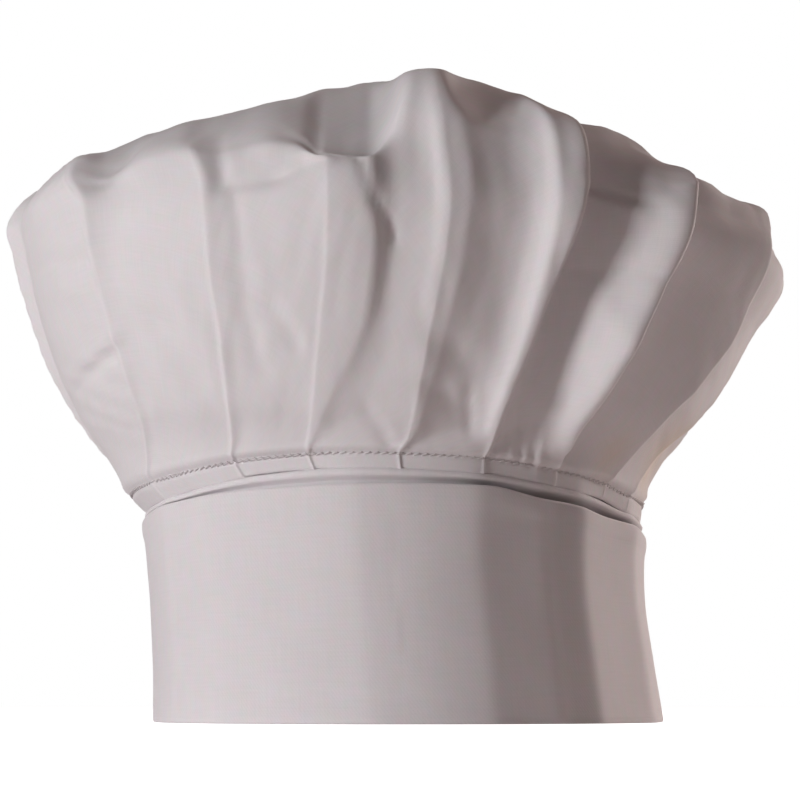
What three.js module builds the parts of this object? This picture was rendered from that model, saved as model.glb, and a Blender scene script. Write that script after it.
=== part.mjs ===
// A pleated cook's hat of white cotton, in millimetres, +Z up, with its front towards -Y.
// A stiff upright band goes round the head. A narrow binding stands inside the band's top edge,
// and a full crown of thin cotton is laid in knife pleats onto the binding and closes over the head.
// The hat stands on the band's lower edge, and the origin is the middle of its footprint, on that plane.
import * as THREE from "three";

// Cloth walls, and the clearance between two pieces that are sewn together.
const bandWall = 2.2;
const bindingWall = 1.5;
const crownWall = 1.5;
const sewnGap = 0.4;

// The band, from its standing edge up. drift is how far a section's middle lies to the right of the origin.
const bandHeight = 70;
const foldHeight = 68.8; // where the outer face starts to round over into the folded top edge
const bandSections = [
  { at: 0, halfWidth: 86.2, halfDepth: 100.6, drift: 5.1 },
  { at: 20, halfWidth: 85.0, halfDepth: 100.0, drift: 3.4 },
  { at: 40, halfWidth: 84.2, halfDepth: 99.6, drift: 1.7 },
  { at: 56, halfWidth: 84.8, halfDepth: 99.8, drift: 0.6 },
  { at: foldHeight, halfWidth: 86.0, halfDepth: 100.0, drift: 0.2 },
  { at: bandHeight, halfWidth: 85.5, halfDepth: 99.5, drift: 0.2 },
];
// Upright bends in the stiff cloth. angle is from the front, positive to the right; swell is outward.
const bandBends = [
  { angle: -69, swell: 1.6, spread: 9 },
  { angle: -22, swell: -0.5, spread: 20 },
  { angle: 21, swell: 0.9, spread: 9 },
  { angle: 40, swell: 0.7, spread: 7 },
  { angle: 60, swell: -0.9, spread: 8 },
  { angle: 100, swell: 0.8, spread: 14 },
  { angle: 150, swell: -0.6, spread: 16 },
  { angle: -125, swell: 0.8, spread: 16 },
];

// The binding: an upright ring inside the band whose top shows just above the band's edge.
const bindingFoot = 58;
const bindingTop = 74.2;

// The crown, from its lower edge, at 0, to the middle of its top, at 1. deeper is how much more half
// depth than half width the plan has there, and left and right are how much further each side reaches.
const crownSections = [
  { at: 0, height: 75, halfWidth: 83.7, drift: 0.2, deeper: 13.9, left: 0, right: 0 },
  { at: 0.03, height: 79.4, halfWidth: 87, drift: -1.5, deeper: 11.6, left: 1, right: -0.7 },
  { at: 0.07, height: 85, halfWidth: 88.8, drift: -3, deeper: 12.8, left: 2.5, right: 0 },
  { at: 0.16, height: 96, halfWidth: 97.3, drift: -3.8, deeper: 12.7, left: 3.7, right: 1.5 },
  { at: 0.3, height: 116, halfWidth: 109.8, drift: -2.8, deeper: 11, left: 3.7, right: 1.7 },
  { at: 0.44, height: 138, halfWidth: 119.8, drift: -0.6, deeper: 8.6, left: 3.6, right: 0.3 },
  { at: 0.56, height: 156, halfWidth: 125.6, drift: 2.2, deeper: 5.6, left: 4.8, right: 1.5 },
  { at: 0.66, height: 171.5, halfWidth: 124, drift: 2.6, deeper: 3.4, left: 8.6, right: -1 },
  { at: 0.72, height: 182, halfWidth: 118.5, drift: 2, deeper: 3, left: 7.6, right: 0 },
  { at: 0.77, height: 188.7, halfWidth: 109.5, drift: 1.4, deeper: 2.4, left: 5, right: 0 },
  { at: 0.81, height: 191.8, halfWidth: 98, drift: 0.8, deeper: 2, left: 4, right: 0 },
  { at: 0.86, height: 194.5, halfWidth: 80, drift: 0, deeper: 1, left: 2, right: 0 },
  { at: 0.92, height: 196.5, halfWidth: 52, drift: 0, deeper: 1, left: 1, right: 0 },
  { at: 1, height: 198, halfWidth: 0, drift: 0, deeper: 0, left: 0, right: 0 },
];
const crownFlop = 0.035; // the crown's height drops by this share of the way to the right

// The line that the top makes from side to side: at is across, and higher is how much higher it lies.
const topLine = [
  { at: -135, higher: -11 },
  { at: -115, higher: -10.5 },
  { at: -101, higher: -9 },
  { at: -84, higher: -5.5 },
  { at: -57, higher: -4.2 },
  { at: -21, higher: 1 },
  { at: -9, higher: 4.5 },
  { at: 8, higher: 6.2 },
  { at: 24, higher: 6.2 },
  { at: 39, higher: 0.8 },
  { at: 50, higher: -3.6 },
  { at: 63, higher: -6.2 },
  { at: 80, higher: -10.2 },
  { at: 96, higher: -13.8 },
  { at: 118, higher: -13.2 },
  { at: 135, higher: -14 },
];
const topStarts = 0.5; // the places along the crown between which it comes to follow that line
const topFull = 0.76;

// Across the front, the height at which the upright cloth turns back towards the top.
const turnLine = [
  { at: -135, height: 195 },
  { at: -106, height: 186 },
  { at: -99, height: 177 },
  { at: -86.8, height: 171 },
  { at: -73.5, height: 171.5 },
  { at: -62, height: 173 },
  { at: -49, height: 171 },
  { at: -38.9, height: 170.5 },
  { at: -28.7, height: 168 },
  { at: -21.5, height: 165 },
  { at: -8, height: 163.5 },
  { at: -1, height: 167 },
  { at: 3.5, height: 178 },
  { at: 8.6, height: 194 },
  { at: 14, height: 188 },
  { at: 20, height: 179 },
  { at: 28, height: 175 },
  { at: 36, height: 177 },
  { at: 42, height: 184 },
  { at: 50, height: 194 },
  { at: 60, height: 194 },
  { at: 135, height: 194 },
];
const turnReach = 128; // how far forward the turned cloth starts
const turnSlope = 0.8; // how much it rises for each mm back
const turnSoft = 2.2; // how softly the cloth bends there, mm

// A pleat's section at three levels, in mm: how far its edge stands out, how wide the turned cloth beyond
// the edge is and how much further out that ends, how far off the valley lies and how deep it is.
const section = (crest, turned, rise, valley, trough) => ({ crest, turned, rise, valley, trough });
const seamSection = section(0.35, 0.2, 0, 2, 0.25);
// Angles of a pleat's edge from the front, at the seam and up the crown, and the place where it ends.
const frontPleats = [
  {
    angles: [-60, -55.8, -49.3, -47.5, -48.3, -48.7, -53.5],
    ends: 0.72,
    sections: [section(0.8, 0.3, 0, 7, 0.2), section(1.2, 0.4, 0, 10, 0.3), section(3, 2, 0, 16, 2)],
  },
  {
    angles: [-33.2, -30.9, -27.8, -26, -26.4, -27, -30],
    ends: 0.66,
    sections: [section(0.8, 0.3, 0, 7, 0.2), section(1, 0.4, 0, 12, 0.1), section(2.4, 1.5, 0, 15, 0.8)],
  },
  {
    angles: [-16.3, -14.5, -11.7, -9.7, -8.8, -9.5, -10.4],
    ends: 0.59,
    sections: [section(0.9, 0.3, 0, 7, 0.3), section(1.6, 6, -0.2, 19, 1.2), section(3.8, 9, -0.6, 19, 3)],
  },
  {
    angles: [1.8, 3.4, 5.1, 6.4, 6.9, 6.1, 5],
    ends: 0.74,
    sections: [section(1.2, 0.4, 0, 10, 0.4), section(1.8, 4, -0.4, 17, 1.5), section(2.4, 4, -0.4, 17, 1.6)],
  },
  {
    angles: [19.3, 20.7, 20.8, 21.9, 22, 20.4, 20.4],
    ends: 0.68,
    sections: [section(2.6, 0.4, 0, 7, 1.6), section(5, 2.8, 0.6, 7, 2.2), section(4.6, 7, 2.6, 10, 2.2)],
  },
  {
    angles: [36.9, 37.8, 36.7, 37, 37.8, 38.4, 41],
    ends: 0.66,
    sections: [section(4.6, 0.4, 0, 8, 2), section(12.5, 0.6, 0, 7, 3.2), section(13.5, 1.5, 0, 8, 3)],
  },
  {
    angles: [54.8, 58, 57.5, 60.5, 62.5, 62, 67],
    ends: 0.68,
    sections: [section(3.4, 0.5, 0, 7, 2), section(7, 0.8, 0, 8, 3), section(9, 2, 0, 8, 3)],
  },
  {
    angles: [68.4, 74, 76, 83, 87, 89, 91],
    ends: 0.66,
    sections: [section(2.5, 0.5, 0, 7, 2), section(4.5, 0.8, 0, 8, 3), section(5.5, 2, 0, 10, 3.5)],
  },
  {
    angles: [79, 85, 89.5, 97, 101.5, 105, 108],
    ends: 0.68,
    sections: [section(2, 0.5, 0, 7, 1.8), section(4, 1, 0, 8, 3), section(5, 2, 0, 10, 3.5)],
  },
];
const anglePlaces = [0, 0.07, 0.16, 0.3, 0.42, 0.56, 0.7];
const sectionPlaces = [0.03, 0.12, 0.36, 0.62];
// The pleats behind. Each turns less on its way up than the one on its right, and some are bolder.
const backPleats = { count: 9, first: 98, last: 258, firstTwist: 22, lastTwist: 12, wander: 3, ends: 0.72 };

const cotton = new THREE.MeshStandardMaterial({ color: 0xd9d4d4, roughness: 0.85, metalness: 0 });
const twill = new THREE.MeshStandardMaterial({ color: 0xcfc8c9, roughness: 0.9, metalness: 0 });
const tape = new THREE.MeshStandardMaterial({ color: 0xdcd6d3, roughness: 0.9, metalness: 0 });

// Reads every column of a table at a place along it, on a smooth curve that never swings past its rows.
function readTable(rows, place) {
  let i = 0;
  while (i < rows.length - 2 && place > rows[i + 1].at) i += 1;
  const span = rows[i + 1].at - rows[i].at;
  const u = THREE.MathUtils.clamp((place - rows[i].at) / span, 0, 1);
  const read = {};
  for (const column of Object.keys(rows[i])) {
    const slope = (k) => (rows[k + 1][column] - rows[k][column]) / (rows[k + 1].at - rows[k].at);
    const blend = (a, b) => (a * b > 0 ? (2 * a * b) / (a + b) : 0);
    const leave = span * (i > 0 ? blend(slope(i - 1), slope(i)) : slope(i));
    const arrive = span * (i < rows.length - 2 ? blend(slope(i), slope(i + 1)) : slope(i));
    const rise = rows[i + 1][column] - rows[i][column];
    read[column] = rows[i][column] + u * leave + u * u * (3 * rise - 2 * leave - arrive);
    read[column] += u * u * u * (leave + arrive - 2 * rise);
  }
  return read;
}

// A point on an oval section, at an angle from the front, pushed outward by swell.
function ovalPoint(oval, angle, swell, height) {
  const turn = THREE.MathUtils.degToRad(angle);
  const side = Math.sin(turn);
  const reach = side > 0 ? (oval.right ?? 0) : -(oval.left ?? 0);
  return new THREE.Vector3(
    oval.drift + reach * side * side + (oval.halfWidth + swell) * side,
    -(oval.halfDepth + swell) * Math.cos(turn),
    height,
  );
}

// The faces between rings of points that follow each other, each ring as long as the next.
function joinRings(faces, low, high, count) {
  for (let c = 0; c < count; c += 1) {
    const next = (c + 1) % count;
    faces.push(low + c, low + next, high + next, low + c, high + next, high + c);
  }
}

function makeSkin(points, faces) {
  const skin = new THREE.BufferGeometry();
  const positions = points.flatMap((p) => [p.x, p.y, p.z]);
  skin.setAttribute("position", new THREE.Float32BufferAttribute(positions, 3));
  skin.setIndex(faces);
  return skin;
}

// Joins closed rings of points, and the last one back to the first.
function closedSkin(rings) {
  const count = rings[0].length;
  const faces = [];
  rings.forEach((ring, r) => joinRings(faces, r * count, ((r + 1) % rings.length) * count, count));
  return makeSkin(rings.flat(), faces);
}

function bendSwell(angle) {
  let swell = 0;
  for (const bend of bandBends) {
    const away = THREE.MathUtils.euclideanModulo(angle - bend.angle + 180, 360) - 180;
    swell += bend.swell * Math.exp(-((away / bend.spread) ** 2));
  }
  return swell;
}

const ringSteps = 72;
const ringAngles = Array.from({ length: ringSteps }, (_, i) => (360 / ringSteps) * i);

// A ring at a height, inset from the band's outer face. Above the band's fold it goes straight up.
function bandRing(height, inset) {
  const oval = readTable(bandSections, inset > 0 ? Math.min(height, foldHeight) : height);
  return ringAngles.map((angle) => ovalPoint(oval, angle, bendSwell(angle) - inset, height));
}

function makeBand() {
  const heights = bandSections.map((row) => row.at);
  const outside = heights.map((height) => bandRing(height, 0));
  const inside = [bandHeight, foldHeight, 56, 40, 0].map((height) => bandRing(height, bandWall));
  return closedSkin([...outside, ...inside]);
}

function makeBinding() {
  const inset = bandWall + sewnGap;
  const outside = [bindingFoot, foldHeight, bindingTop].map((height) => bandRing(height, inset));
  const inside = [bindingTop, foldHeight, bindingFoot].map((height) => bandRing(height, inset + bindingWall));
  return closedSkin([...outside, ...inside]);
}

function allPleats() {
  const { count, first, last, firstTwist, lastTwist, wander, ends } = backPleats;
  const behind = Array.from({ length: count }, (_, i) => {
    const share = i / (count - 1);
    const seam = THREE.MathUtils.lerp(first, last, share);
    const twist = THREE.MathUtils.lerp(firstTwist, lastTwist, share) + wander * Math.sin(2.3 * i + 1);
    const bold = 0.8 + 0.2 * Math.sin(2.9 * i);
    return {
      angles: [0, 0.2, 0.4, 0.65, 0.8, 0.9, 1].map((turned) => seam + turned * twist),
      ends: ends + 0.05 * Math.sin(2.6 * i),
      sections: [
        section(1.6 * bold, 0.4, 0, 7, 1.2 * bold),
        section(4.6 * bold, 0.8, 0, 9, 3 * bold),
        section(6.6 * bold, 2.5, 0, 12, 3.8 * bold),
      ],
    };
  });
  return [...frontPleats, ...behind].map((pleat) => ({
    ends: pleat.ends,
    angles: pleat.angles.map((angle, i) => ({ at: anglePlaces[i], angle })),
    sections: [seamSection, ...pleat.sections].map((row, i) => ({ at: sectionPlaces[i], ...row })),
  }));
}

const pleats = allPleats();

// A pleat's section at a place, shallower beyond the place where its edge ends.
function pleatAt(pleat, place) {
  const { crest, turned, rise, valley, trough } = readTable(pleat.sections, place);
  const past = THREE.MathUtils.smoothstep(place, pleat.ends, pleat.ends + 0.1);
  const left = (1 - 0.8 * past) * Math.min(1, 5 * (1 - place));
  const start = readTable(pleat.angles, place).angle;
  return { start, crest: crest * left, turned, rise: rise * left, valley, trough: trough * left };
}

// The lower of two heights, bending softly from one to the other.
function lowerOf(first, second, soft) {
  const low = Math.min(first, second);
  return low - soft * Math.log1p(Math.exp(-Math.abs(first - second) / soft));
}

const browWidth = 1.2; // the least width of the turned cloth at a pleat's edge

// One ring of the crown, inset along the direction that its side faces.
function crownRing(place, inset) {
  const row = readTable(crownSections, place);
  const step = 0.002;
  const below = readTable(crownSections, Math.max(0, place - step));
  const above = readTable(crownSections, Math.min(1, place + step));
  const facing = new THREE.Vector2(above.height - below.height, below.halfWidth - above.halfWidth).normalize();
  const oval = { ...row, halfDepth: row.halfWidth + row.deeper };
  const follow = THREE.MathUtils.smoothstep(place, topStarts, topFull);
  const perDegree = THREE.MathUtils.degToRad(1) * (row.halfWidth + row.deeper / 2);
  const back = turnSlope * Math.max(0, turnReach - row.halfWidth - row.deeper);
  const mark = (angle, stand) => {
    const out = stand - inset;
    const point = ovalPoint(oval, angle, out * facing.x, row.height + out * facing.y);
    point.z += follow * readTable(topLine, point.x).higher - crownFlop * Math.min(1, 2 * place) * point.x;
    const behind = 1 - THREE.MathUtils.clamp(2.5 * Math.cos(THREE.MathUtils.degToRad(angle)), 0, 1);
    const turn = readTable(turnLine, point.x).height + back + 60 * behind - inset * Math.hypot(1, turnSlope);
    point.z = lowerOf(point.z, turn, turnSoft);
    return point;
  };

  const here = pleats.map((pleat) => pleatAt(pleat, place));
  return here.flatMap((pleat, k) => {
    const next = here[(k + 1) % here.length];
    const pitch = perDegree * THREE.MathUtils.euclideanModulo(next.start - pleat.start, 360);
    const foot = Math.max(2 * browWidth, Math.min(pleat.valley, 0.6 * pitch));
    const brow = Math.max(browWidth, Math.min(pleat.turned, 0.7 * foot));
    const drop = pleat.crest + pleat.rise + pleat.trough;
    const climb = next.crest + pleat.trough;
    const along = (offset, stand) => mark(pleat.start + offset / perDegree, stand);
    return [
      along(0, pleat.crest),
      along(brow, pleat.crest + pleat.rise - 0.1 * drop),
      along(foot, -pleat.trough),
      along(foot + 0.4 * (pitch - foot), 0.16 * climb - pleat.trough),
      along(foot + 0.75 * (pitch - foot), 0.58 * climb - pleat.trough),
    ];
  });
}

const sidePlaces = [0, 0.03, 0.07, 0.115, 0.16, 0.23, 0.3, 0.37, 0.44, 0.5, 0.56, 0.61];
const topPlaces = [0.66, 0.7, 0.74, 0.78, 0.82, 0.87, 0.93];

function makeCrown() {
  const places = [...sidePlaces, ...topPlaces];
  const outside = places.map((place) => crownRing(place, 0));
  const inside = places.map((place) => crownRing(place, crownWall)).reverse();
  const count = outside[0].length;
  const points = [...outside, ...inside].flat();
  const faces = [];
  const lastOutside = (places.length - 1) * count;
  const firstInside = places.length * count;
  const rows = 2 * places.length;
  for (let r = 0; r < rows; r += 1) {
    if (r * count !== lastOutside) joinRings(faces, r * count, ((r + 1) % rows) * count, count);
  }
  // The middle of the top is one point outside and one inside.
  const middle = readTable(crownSections, 1).height + readTable(topLine, 0).higher;
  const tip = points.length;
  points.push(new THREE.Vector3(0, 0, middle), new THREE.Vector3(0, 0, middle - crownWall));
  for (let c = 0; c < count; c += 1) {
    const next = (c + 1) % count;
    faces.push(lastOutside + c, lastOutside + next, tip);
    faces.push(firstInside + next, firstInside + c, tip + 1);
  }
  return makeSkin(points, faces);
}

const hat = new THREE.Group();

function addPiece(name, geometry, material) {
  const piece = new THREE.Mesh(geometry, material);
  piece.name = name;
  hat.add(piece);
  return piece;
}

addPiece("band", makeBand(), twill);
addPiece("neck_binding", makeBinding(), tape);
addPiece("crown", makeCrown(), cotton);

// The footprint's middle, below the middle of the whole hat, is the origin.
const middle = new THREE.Box3().setFromObject(hat).getCenter(new THREE.Vector3());
for (const piece of hat.children) piece.position.set(-middle.x, -middle.y, 0);

export default hat;
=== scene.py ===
import math

import bpy
import numpy as np
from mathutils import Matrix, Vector, noise


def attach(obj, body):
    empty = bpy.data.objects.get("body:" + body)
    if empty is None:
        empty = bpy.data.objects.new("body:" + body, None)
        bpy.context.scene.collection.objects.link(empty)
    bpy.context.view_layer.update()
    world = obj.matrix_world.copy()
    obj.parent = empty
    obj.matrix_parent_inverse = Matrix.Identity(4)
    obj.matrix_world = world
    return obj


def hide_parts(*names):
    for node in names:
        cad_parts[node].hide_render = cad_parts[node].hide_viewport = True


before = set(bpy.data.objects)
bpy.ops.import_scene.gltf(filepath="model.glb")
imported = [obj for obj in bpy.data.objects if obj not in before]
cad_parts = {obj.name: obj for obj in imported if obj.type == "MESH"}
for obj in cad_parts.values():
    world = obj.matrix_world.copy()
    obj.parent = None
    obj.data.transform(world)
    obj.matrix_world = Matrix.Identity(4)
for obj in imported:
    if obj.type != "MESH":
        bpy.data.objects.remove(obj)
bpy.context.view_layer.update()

# Crown
# The full top of the hat: one disc of thin white plain-weave cotton. Its edge is laid in knife pleats,
# all folded towards the same side, pressed flat in a short strip and stitched down onto the binding.
MM = 0.001
HAT_MIDDLE = (-0.30, -2.02, 0.0)  # the band's middle from the origin, mm
CROWN_CLOTH = 0.22  # cloth thickness, mm
CROWN_RADIUS = 240.0  # the disc that the crown is cut as, mm

# Up the crown, from place 0 at its foot to place 1 at the middle of the top: place, height, half width,
# drift to the right, extra half depth, how much further it reaches on the left and on the right, and how
# softly its folds turn. All but the place are in mm.
CROWN_ROWS = np.array([
    (0.00, 74.1, 83.7, 0.2, 13.9, 0.0, 0.0, 0.15),
    (0.03, 79.4, 87.0, -1.5, 11.6, 1.0, -0.7, 0.15),
    (0.07, 85.0, 88.8, -3.0, 12.8, 2.5, 0.0, 0.25),
    (0.16, 96.0, 97.3, -3.8, 12.7, 3.7, 1.5, 0.35),
    (0.30, 116.0, 109.8, -2.8, 11.0, 3.7, -1.3, 0.40),
    (0.44, 138.0, 119.8, -0.6, 8.6, 3.6, -3.4, 0.40),
    (0.56, 156.0, 125.6, 2.2, 5.6, 4.8, -2.2, 0.45),
    (0.66, 171.5, 124.0, 2.6, 3.4, 8.6, -3.5, 0.50),
    (0.72, 182.0, 118.5, 2.0, 3.0, 7.6, 0.0, 0.70),
    (0.77, 188.7, 109.5, 1.4, 2.4, 5.0, 0.0, 1.40),
    (0.81, 191.8, 98.0, 0.8, 2.0, 4.0, 0.0, 2.40),
    (0.86, 194.5, 80.0, 0.0, 1.0, 2.0, 0.0, 4.00),
    (0.92, 196.5, 52.0, 0.0, 1.0, 1.0, 0.0, 6.00),
    (1.00, 198.0, 0.0, 0.0, 0.0, 0.0, 0.0, 6.00),
])
CROWN_FLOP = 0.035  # the crown's height drops by this share of the way to the right

# The line that the top of the hat makes from side to side: across, and how much higher it lies there, mm.
TOP_LINE = np.array([
    (-135.0, -12.0), (-115.0, -11.0), (-101.0, -9.8), (-84.0, -7.0), (-57.0, -5.0), (-21.0, 1.0),
    (-9.0, 5.5), (2.0, 8.0), (8.6, 7.0), (24.0, 6.2), (39.0, 0.8), (50.0, -3.6), (58.7, -5.0),
    (64.7, -5.6), (71.0, -7.6), (77.0, -9.2), (84.0, -13.0), (89.0, -13.8), (95.0, -11.6),
    (101.0, -12.8), (106.0, -15.2), (118.0, -16.5), (135.0, -16.5),
])
# Its bumps stay near the front. Towards the back the top settles to this plainer line instead.
CALM_LINE = np.array([
    (-135.0, -11.0), (-90.0, -7.0), (-45.0, -1.5), (0.0, 3.5), (45.0, -1.0), (90.0, -10.0), (135.0, -15.0),
])
CALM_FROM, CALM_AT = -60.0, 15.0  # on the way to the back, where it starts to settle and has settled, mm
TOP_STARTS, TOP_FULL = 0.5, 0.76  # the places between which the crown comes to follow the top's line
# Round from the front, in degrees, and how much higher the crown's foot lies there, mm.
NECK_LINE = np.array([
    (-180.0, 0.0), (-130.0, 0.0), (-90.0, -4.8), (-65.0, -4.0), (-45.0, -1.9), (-30.0, 0.3), (-10.0, 1.4),
    (8.0, 0.8), (20.0, 0.0), (37.0, -2.6), (52.0, -4.9), (66.0, -8.0), (90.0, -8.6), (130.0, 0.0),
    (180.0, 0.0),
])
NECK_ENDS = 0.15  # the place where the crown has stopped following it
# Across the front, the height at which the upright cloth turns back towards the top: high where a pleat
# holds it up, and low where it has sunk in between two pleats. Both in mm.
TURN_LINE = np.array([
    (-135.0, 195.0), (-106.0, 184.0), (-99.0, 174.0), (-90.0, 168.5), (-82.0, 169.5), (-73.5, 173.0),
    (-66.0, 172.5), (-56.0, 169.5), (-47.0, 170.0), (-38.9, 171.0), (-28.7, 169.0), (-21.5, 165.0),
    (-8.0, 164.5), (-1.0, 172.0), (3.5, 184.0), (8.6, 194.0), (14.0, 188.0), (20.0, 179.0), (28.0, 175.0),
    (36.0, 177.0), (42.0, 184.0), (50.0, 194.0), (60.0, 194.0), (135.0, 194.0),
])
TURN_REACH, TURN_SLOPE, TURN_SOFT = 128.0, 0.8, 2.2  # how far out it starts, its slope and its bend, mm
TURN_LIFT, TURN_WIDTH = 60.0, 2.5  # off the front it lies this much higher, mm, so nothing turns back there

# Each pleat's edge, in degrees from the front: in the stitched strip, then at the six places above it,
# and last the place where the pleat ends.
EDGE_PLACES = (0.0, 0.032, 0.07, 0.16, 0.30, 0.42, 0.56, 0.7)
FRONT_EDGES = [
    (-60.0, -55.8, -49.3, -47.5, -48.3, -48.7, -53.5, 0.72),
    (-33.2, -30.9, -27.8, -26.0, -26.4, -27.0, -30.0, 0.66),
    (-16.3, -14.5, -11.7, -9.7, -8.8, -9.5, -10.4, 0.62),
    (1.9, 4.7, 6.2, 7.1, 7.6, 6.5, 5.2, 0.74),
    (19.4, 21.2, 21.4, 22.6, 22.7, 21.5, 21.2, 0.68),
    (36.6, 37.3, 35.6, 35.9, 37.4, 38.4, 41.0, 0.645),
    (53.6, 55.6, 55.4, 59.5, 63.0, 61.0, 66.5, 0.68),
    (64.0, 69.5, 75.0, 83.0, 87.0, 89.0, 91.0, 0.66),
    (79.0, 85.0, 89.5, 97.0, 101.5, 105.0, 108.0, 0.68),
]
# Each pleat's section just above the strip, half way up and at the shoulder: how far its edge stands
# out, how wide the turned cloth beyond the edge is and how much further out that ends, how far off the
# valley lies and how deep it is, all in mm, and how full the panel swells on its way to the next edge.
# In the strip itself every pleat has the first section.
SEAM_SECTION = (0.5, 0.15, 0.0, 1.0, 0.1, 0.5)
SECTION_PLACES = (0.03, 0.12, 0.36, 0.62)
FRONT_SECTIONS = [
    ((0.8, 0.3, 0, 7, 0.2, 0.5), (1.2, 0.4, 0, 10, 0.3, 0.6), (3.0, 2.0, 0, 16, 2.0, 0.5)),
    ((0.8, 0.3, 0, 7, 0.2, 0.5), (1.0, 0.4, 0, 12, 0.1, 0.6), (2.4, 1.5, 0, 15, 0.8, 0.4)),
    ((0.7, 3.0, 0, 12, 0.1, 0.5), (1.6, 15.0, -0.3, 24, 1.2, 0.1), (3.6, 12.0, -0.6, 22, 2.2, -0.5)),
    ((2.0, 2.0, 0, 18, 0.2, 0.0), (1.6, 5.0, -0.2, 22, 0.6, -0.2), (1.6, 6.0, -0.2, 20, 0.8, 0.1)),
    ((3.4, 0.4, 0, 6, 1.6, 0.2), (5.8, 1.6, 0.4, 7, 3.2, 0.4), (7.5, 8.0, 2.4, 13, 2.4, 0.6)),
    ((8.0, 0.4, 0, 6, 2.2, 0.5), (18.0, 0.6, 0, 6, 3.4, 0.7), (16.5, 1.5, 0, 7, 3.0, 0.7)),
    ((6.0, 0.5, 0, 6, 2.0, 0.5), (12.0, 0.8, 0, 6, 3.0, 1.0), (10.5, 2.0, 0, 6, 3.0, 1.0)),
    ((2.5, 0.5, 0, 7, 2.0, 0.3), (7.4, 0.8, 0, 8, 3.0, 0.3), (9.2, 2.0, 0, 10, 3.5, 0.4)),
    ((2.0, 0.5, 0, 7, 1.8, 0.4), (4.0, 1.0, 0, 8, 3.0, 0.5), (5.0, 2.0, 0, 10, 3.5, 0.5)),
]
BACK_PLEATS = 9
BACK_FIRST, BACK_LAST = 98.0, 258.0  # where the first and the last of them start, degrees from the front
BACK_TWIST, TWIST_LOST, TWIST_VARIES = 22.0, 10.0, 3.0  # how far they turn on their way up, degrees
TWIST_SHARES = (0.0, 0.2, 0.4, 0.65, 0.8, 0.9, 1.0)  # how much of that at each place
BACK_ENDS, ENDS_VARY = 0.72, 0.05  # the place where they end
BACK_BOLD, BOLD_VARIES = 0.8, 0.2  # how bold they are, as a share of the next three sections
BACK_SECTIONS = ((1.6, 0.4, 0, 7, 1.2, 0.4), (4.6, 0.8, 0, 9, 3.0, 0.2), (6.6, 2.5, 0, 12, 3.8, 0.2))


def back_edge(i):
    """A pleat that the front doesn't show, turning less on its way up than the one before it."""
    along = i / (BACK_PLEATS - 1)
    seam = BACK_FIRST + along * (BACK_LAST - BACK_FIRST)
    twist = BACK_TWIST - TWIST_LOST * along + TWIST_VARIES * math.sin(2.3 * i + 1)
    ends = BACK_ENDS + ENDS_VARY * math.sin(2.6 * i)
    turns = [seam + share * twist for share in TWIST_SHARES]
    return (*turns, ends)


def back_section(i):
    """A back pleat's three sections, a little bolder or flatter than the next one's."""
    bold = BACK_BOLD + BOLD_VARIES * math.sin(2.9 * i)
    return [
        (crest * bold, turned, rise, valley, trough * bold, full)
        for crest, turned, rise, valley, trough, full in BACK_SECTIONS
    ]


edges = np.array(FRONT_EDGES + [back_edge(i) for i in range(BACK_PLEATS)])
sections = np.array(FRONT_SECTIONS + [back_section(i) for i in range(BACK_PLEATS)])
PLEAT_COUNT = len(edges)
seam_edge, neck_edge = edges[:, 0], edges[:, 1]
ENDED = edges[:, 7]
# Through the stitched strip the edges run straight up, with a slight hook at the foot, in degrees.
FOOT_HOOK, STRIP_TURN = 0.5, 0.1
strip_edge = seam_edge + STRIP_TURN * (neck_edge - seam_edge)
EDGE_ROWS = np.vstack([seam_edge - FOOT_HOOK, strip_edge, edges[:, 1:7].T])
SECTION_ROWS = np.concatenate([np.tile(SEAM_SECTION, (1, PLEAT_COUNT, 1)), sections.transpose(1, 0, 2)])
SECTION_ROWS = SECTION_ROWS.reshape(len(SECTION_PLACES), -1)


def smooth_rows(places, values, where):
    """The values at any place, on a smooth curve through the rows that never swings past them."""
    places, values = np.asarray(places, float), np.asarray(values, float)
    slopes = np.diff(values, axis=0) / np.diff(places)[:, None]
    product, total = slopes[1:] * slopes[:-1], slopes[1:] + slopes[:-1]
    inner = np.where(product > 0, 2 * product / np.where(product > 0, total, 1), 0)
    tangents = np.vstack([slopes[:1], inner, slopes[-1:]])
    where = np.clip(np.atleast_1d(where), places[0], places[-1])
    i = np.clip(np.searchsorted(places, where) - 1, 0, len(places) - 2)
    span = (places[i + 1] - places[i])[:, None]
    u = (where[:, None] - places[i][:, None]) / span
    rise = values[i + 1] - values[i]
    leave, arrive = tangents[i] * span, tangents[i + 1] * span
    square, cube = 3 * rise - 2 * leave - arrive, leave + arrive - 2 * rise
    return values[i] + u * leave + u**2 * square + u**3 * cube


def ramp(value, start, end):
    """0 up to start, 1 from end on, and a straight climb in between."""
    return np.clip((value - start) / (end - start), 0, 1)


def eased(share):
    """A share from 0 to 1 that leaves and arrives softly."""
    return share * share * (3 - 2 * share)


EDGE_PUFF, PUFF_WIDTH = 0.45, 1.6  # a folded edge stands this much proud of its panel, over this width, mm
PUFF_WITHIN = 0.2  # but over no more than this share of the panel
PANEL_STEPS, STEP_GROWTH = 40, 1.3  # steps across a panel, and how they widen away from its edge
LEAST_DROP, LEAST_VALLEY = 0.1, 0.8  # no valley is shallower or nearer to its edge than this, mm
VALLEY_WITHIN = 0.6  # the valley lies no further off than this share of the panel
LEDGE_WITHIN = 0.7  # and the turned cloth reaches no further than this share of the way to it
BROW_WIDTH, BROW_DROP = 0.1, 0.04  # the round of the fold: its width, mm, and its share of the drop
# Down from there to the valley: shares of the way and of the drop.
FALL = ((0.2, 0.38), (0.45, 0.74), (0.7, 0.93))
# And up to the next edge: shares of the way and of the climb, and how much more of it in a full panel.
CLIMB = ((0.35, 0.12, 0.38), (0.65, 0.46, 0.34))


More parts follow.
